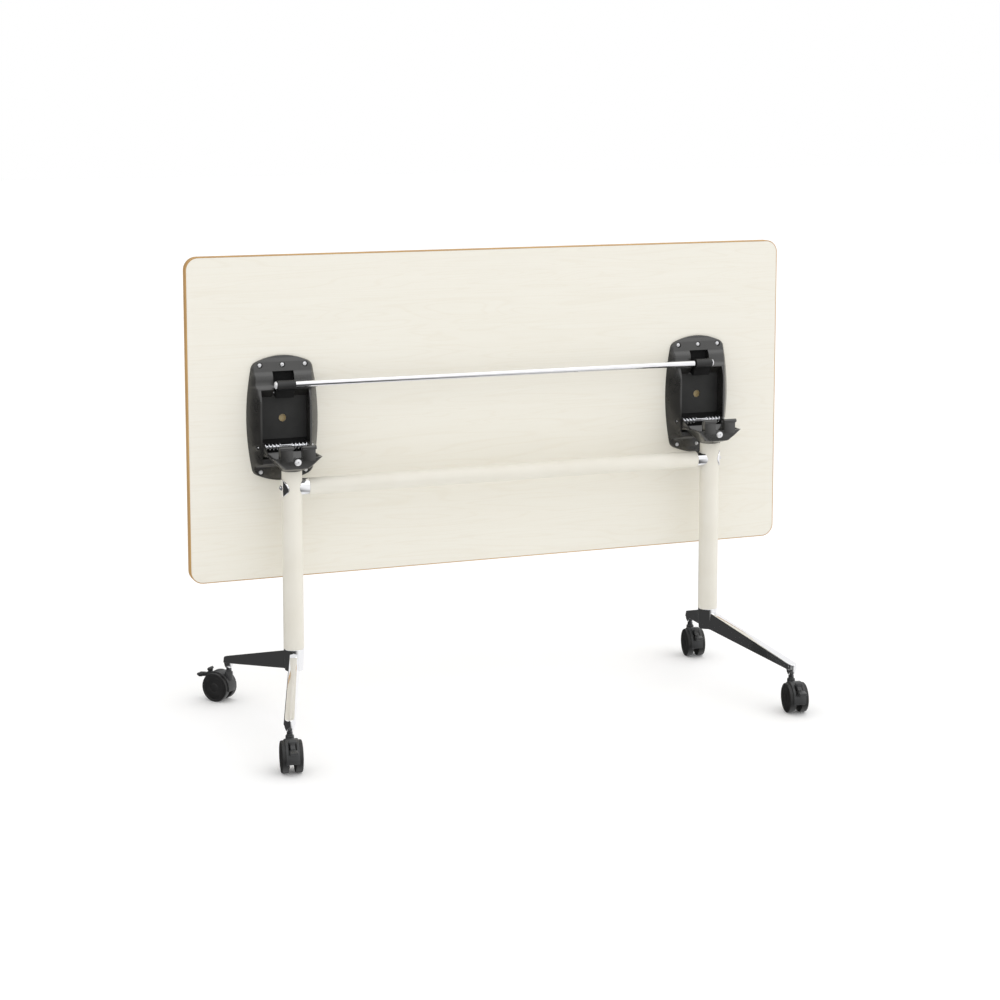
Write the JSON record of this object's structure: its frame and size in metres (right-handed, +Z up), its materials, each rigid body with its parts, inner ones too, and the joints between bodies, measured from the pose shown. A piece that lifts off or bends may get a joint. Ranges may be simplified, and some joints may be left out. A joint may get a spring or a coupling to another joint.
{
  "type": "flip top training table",
  "caption": "Rectangular training table on braked twin-wheel casters whose wood-look top flips upright on latched hinges worked by a pull bar, over a cream tube frame with splayed feet.",
  "frame": {"origin": "on the floor under the middle of the folded table's plan box", "axes": "+X along the top, +Y from the frame towards the folded top's work surface, +Z up"},
  "size_m": [1.6, 0.7496, 1.164],
  "materials": {
    "maple_laminate": "pale maple laminate, satin, faint grain along the top",
    "ply_edge": "tan edge band, satin",
    "black_casting": "die casting with black satin paint",
    "foot_casting": "polished die casting, mirror bright",
    "cream_tube": "cream powder coat on steel tube, semi-gloss",
    "chrome": "bright chrome plate",
    "bright_steel": "bright zinc plate",
    "black_plastic": "black moulded plastic, satin",
    "hood_plastic": "charcoal moulded plastic, satin",
    "wheel_plastic": "black moulded wheel, satin face"
  },
  "bodies": {
    "frame": {"crossbar": "cream_tube", "left_column": "cream_tube", "left_column_head": "black_casting", "left_head_bolt": "chrome", "left_pivot_pin": "chrome", "left_inner_saddle": "chrome", "left_outer_cap": "chrome", "left_tie_bolt": "bright_steel", "left_foot": "foot_casting", "left_foot_bolt": "bright_steel", "right_column": "cream_tube", "right_column_head": "black_casting", "right_head_bolt": "chrome", "right_pivot_pin": "chrome", "right_inner_saddle": "chrome", "right_outer_cap": "chrome", "right_tie_bolt": "bright_steel", "right_foot": "foot_casting", "right_foot_bolt": "bright_steel", "front_left_caster_stem": "bright_steel", "back_left_caster_stem": "bright_steel", "front_right_caster_stem": "bright_steel", "back_right_caster_stem": "bright_steel"},
    "top": {"tabletop_board": "maple_laminate", "edge_band": "ply_edge", "left_hinge_bracket": "black_casting", "left_latch_pin": "bright_steel", "left_torsion_spring": "bright_steel", "right_hinge_bracket": "black_casting", "right_latch_pin": "bright_steel", "right_torsion_spring": "bright_steel"},
    "release_bar": {"pull_bar": "chrome", "left_latch_lever": "black_plastic", "left_bar_screw": "chrome", "right_latch_lever": "black_plastic", "right_bar_screw": "chrome"},
    "front_left_caster": {"front_left_caster_hood": "hood_plastic", "front_left_caster_axle": "bright_steel"},
    "front_left_wheel_1": {"front_left_caster_wheel_1": "wheel_plastic"},
    "front_left_wheel_2": {"front_left_caster_wheel_2": "wheel_plastic"},
    "front_left_brake": {"front_left_caster_brake": "hood_plastic"},
    "back_left_caster": {"back_left_caster_hood": "hood_plastic", "back_left_caster_axle": "bright_steel"},
    "back_left_wheel_1": {"back_left_caster_wheel_1": "wheel_plastic"},
    "back_left_wheel_2": {"back_left_caster_wheel_2": "wheel_plastic"},
    "back_left_brake": {"back_left_caster_brake": "hood_plastic"},
    "front_right_caster": {"front_right_caster_hood": "hood_plastic", "front_right_caster_axle": "bright_steel"},
    "front_right_wheel_1": {"front_right_caster_wheel_1": "wheel_plastic"},
    "front_right_wheel_2": {"front_right_caster_wheel_2": "wheel_plastic"},
    "front_right_brake": {"front_right_caster_brake": "hood_plastic"},
    "back_right_caster": {"back_right_caster_hood": "hood_plastic", "back_right_caster_axle": "bright_steel"},
    "back_right_wheel_1": {"back_right_caster_wheel_1": "wheel_plastic"},
    "back_right_wheel_2": {"back_right_caster_wheel_2": "wheel_plastic"},
    "back_right_brake": {"back_right_caster_brake": "hood_plastic"}
  },
  "joints": [
    {"name": "top_flip", "type": "hinge", "parent": "frame", "child": "top", "pos_m": [0, 0.06279, 0.697], "axis": [1, 0, 0], "range_deg": [0, 90]},
    {"name": "release_rock", "type": "hinge", "parent": "top", "child": "release_bar", "pos_m": [0, 0.08179, 0.82805], "axis": [-1, 0, 0], "range_deg": [-12, 8], "stiffness_Nm_per_rad": 20, "springref_deg": 1.55},
    {"name": "front_left_swivel", "type": "hinge", "parent": "frame", "child": "front_left_caster", "pos_m": [-0.658, -0.28021, 0], "axis": [0, 0, 1], "continuous": true},
    {"name": "front_left_wheel_1_spin", "type": "hinge", "parent": "front_left_caster", "child": "front_left_wheel_1", "pos_m": [-0.66279, -0.30982, 0.0375], "axis": [-0.9872, 0.1595, 0], "continuous": true},
    {"name": "front_left_wheel_2_spin", "type": "hinge", "parent": "front_left_caster", "child": "front_left_wheel_2", "pos_m": [-0.66279, -0.30982, 0.0375], "axis": [-0.9872, 0.1595, 0], "continuous": true},
    {"name": "front_left_brake_press", "type": "hinge", "parent": "front_left_caster", "child": "front_left_brake", "pos_m": [-0.66583, -0.32866, 0.06193], "axis": [0.9872, -0.1595, 0], "range_deg": [0, 12]},
    {"name": "back_left_swivel", "type": "hinge", "parent": "frame", "child": "back_left_caster", "pos_m": [-0.658, 0.29779, 0], "axis": [0, 0, 1], "continuous": true},
    {"name": "back_left_wheel_1_spin", "type": "hinge", "parent": "back_left_caster", "child": "back_left_wheel_1", "pos_m": [-0.67782, 0.32032, 0.0375], "axis": [0.7507, 0.6606, 0], "continuous": true},
    {"name": "back_left_wheel_2_spin", "type": "hinge", "parent": "back_left_caster", "child": "back_left_wheel_2", "pos_m": [-0.67782, 0.32032, 0.0375], "axis": [0.7507, 0.6606, 0], "continuous": true},
    {"name": "back_left_brake_press", "type": "hinge", "parent": "back_left_caster", "child": "back_left_brake", "pos_m": [-0.69043, 0.33464, 0.06193], "axis": [-0.7507, -0.6606, 0], "range_deg": [0, 12]},
    {"name": "front_right_swivel", "type": "hinge", "parent": "frame", "child": "front_right_caster", "pos_m": [0.658, -0.28021, 0], "axis": [0, 0, 1], "continuous": true},
    {"name": "front_right_wheel_1_spin", "type": "hinge", "parent": "front_right_caster", "child": "front_right_wheel_1", "pos_m": [0.65321, -0.30982, 0.0375], "axis": [-0.9872, 0.1595, 0], "continuous": true},
    {"name": "front_right_wheel_2_spin", "type": "hinge", "parent": "front_right_caster", "child": "front_right_wheel_2", "pos_m": [0.65321, -0.30982, 0.0375], "axis": [-0.9872, 0.1595, 0], "continuous": true},
    {"name": "front_right_brake_press", "type": "hinge", "parent": "front_right_caster", "child": "front_right_brake", "pos_m": [0.65017, -0.32866, 0.06193], "axis": [0.9872, -0.1595, 0], "range_deg": [0, 12]},
    {"name": "back_right_swivel", "type": "hinge", "parent": "frame", "child": "back_right_caster", "pos_m": [0.658, 0.29779, 0], "axis": [0, 0, 1], "continuous": true},
    {"name": "back_right_wheel_1_spin", "type": "hinge", "parent": "back_right_caster", "child": "back_right_wheel_1", "pos_m": [0.65321, 0.26818, 0.0375], "axis": [-0.9872, 0.1595, 0], "continuous": true},
    {"name": "back_right_wheel_2_spin", "type": "hinge", "parent": "back_right_caster", "child": "back_right_wheel_2", "pos_m": [0.65321, 0.26818, 0.0375], "axis": [-0.9872, 0.1595, 0], "continuous": true},
    {"name": "back_right_brake_press", "type": "hinge", "parent": "back_right_caster", "child": "back_right_brake", "pos_m": [0.65017, 0.24934, 0.06193], "axis": [0.9872, -0.1595, 0], "range_deg": [0, 12]}
  ]
}
